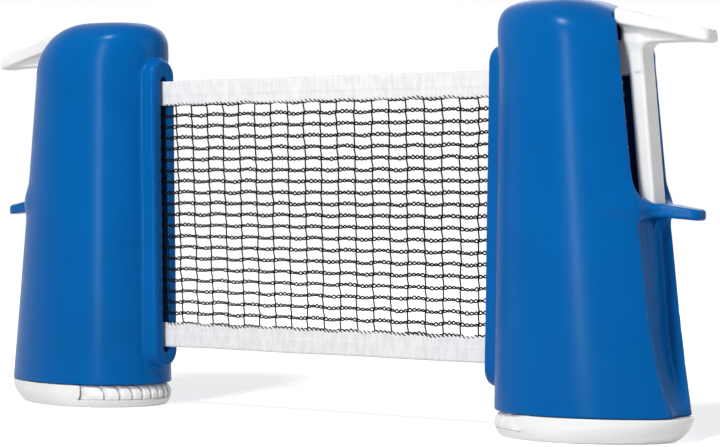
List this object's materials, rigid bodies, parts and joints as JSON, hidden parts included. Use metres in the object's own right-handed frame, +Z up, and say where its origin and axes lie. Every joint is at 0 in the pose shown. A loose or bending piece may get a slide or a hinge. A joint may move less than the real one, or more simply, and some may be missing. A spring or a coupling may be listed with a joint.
{
  "type": "table tennis net",
  "caption": "Retractable table tennis net on clamp posts with squeeze levers, ribbed clamping feet and sprung rollers that take in a black mesh band with white taped edges.",
  "frame": {"origin": "ground line under the middle of the net, midway between the posts", "axes": "+X along the net towards the right post, +Y away from the front, +Z up"},
  "size_m": [0.4144, 0.064, 0.1946],
  "materials": {
    "blue_plastic": "satin moulded",
    "white_plastic": "satin moulded",
    "steel": "drawn and zinc plated",
    "rubber": "matt",
    "net_cord": "knitted cord",
    "net_tape": "knitted tape"
  },
  "bodies": {
    "left_post": {"left_shell_front": "blue_plastic", "left_shell_back": "blue_plastic", "left_shell_screws": "steel", "left_jaw_pad": "rubber", "left_clamp_spring": "steel", "left_top_bush": "white_plastic", "left_bottom_bush": "white_plastic", "left_rewind_spring": "steel"},
    "left_clamp": {"left_squeeze_lever": "white_plastic", "left_push_rod": "steel", "left_foot": "white_plastic", "left_foot_pad": "white_plastic", "left_foot_screw": "steel"},
    "left_reel": {"left_roller_core": "white_plastic", "left_roller_axle": "steel", "left_wound_net": "net_cord"},
    "right_post": {"right_shell_front": "blue_plastic", "right_shell_back": "blue_plastic", "right_shell_screws": "steel", "right_jaw_pad": "rubber", "right_clamp_spring": "steel", "right_top_bush": "white_plastic", "right_bottom_bush": "white_plastic", "right_rewind_spring": "steel"},
    "right_clamp": {"right_squeeze_lever": "white_plastic", "right_push_rod": "steel", "right_foot": "white_plastic", "right_foot_pad": "white_plastic", "right_foot_screw": "steel"},
    "right_reel": {"right_roller_core": "white_plastic", "right_roller_axle": "steel", "right_wound_net": "net_cord"},
    "net": {"net_mesh": "net_cord", "net_top_tape": "net_tape", "net_bottom_tape": "net_tape"}
  },
  "joints": [
    {"name": "left_payout", "type": "slide", "parent": "left_post", "child": "net", "axis": [1, 0, 0], "range_m": [-0.045, 0.75], "deforming": ["net_mesh", "net_top_tape", "net_bottom_tape"]},
    {"name": "right_payout", "type": "slide", "parent": "net", "child": "right_post", "axis": [1, 0, 0], "range_m": [-0.045, 0.75], "deforming": ["net_mesh", "net_top_tape", "net_bottom_tape"]},
    {"name": "left_squeeze", "type": "slide", "parent": "left_post", "child": "left_clamp", "axis": [-0.0941, 0, -0.9956], "range_m": [0, 0.055], "stiffness_N_per_m": 800, "springref_m": -0.02, "deforming": ["left_clamp_spring"]},
    {"name": "left_reel_spin", "type": "hinge", "parent": "left_post", "child": "left_reel", "pos_m": [-0.1257, -0.0111, 0.09], "axis": [0, 0, 1], "continuous": true, "deforming": ["left_rewind_spring"]},
    {"name": "right_squeeze", "type": "slide", "parent": "right_post", "child": "right_clamp", "axis": [0.0941, 0, -0.9956], "range_m": [0, 0.055], "stiffness_N_per_m": 800, "springref_m": -0.02, "deforming": ["right_clamp_spring"]},
    {"name": "right_reel_spin", "type": "hinge", "parent": "right_post", "child": "right_reel", "pos_m": [0.1257, -0.0111, 0.09], "axis": [0, 0, 1], "continuous": true, "deforming": ["right_rewind_spring"]}
  ],
  "couplings": [
    {"joint": "left_reel_spin", "follows": "left_payout", "rad_per_m": -90},
    {"joint": "right_reel_spin", "follows": "right_payout", "rad_per_m": 90}
  ]
}
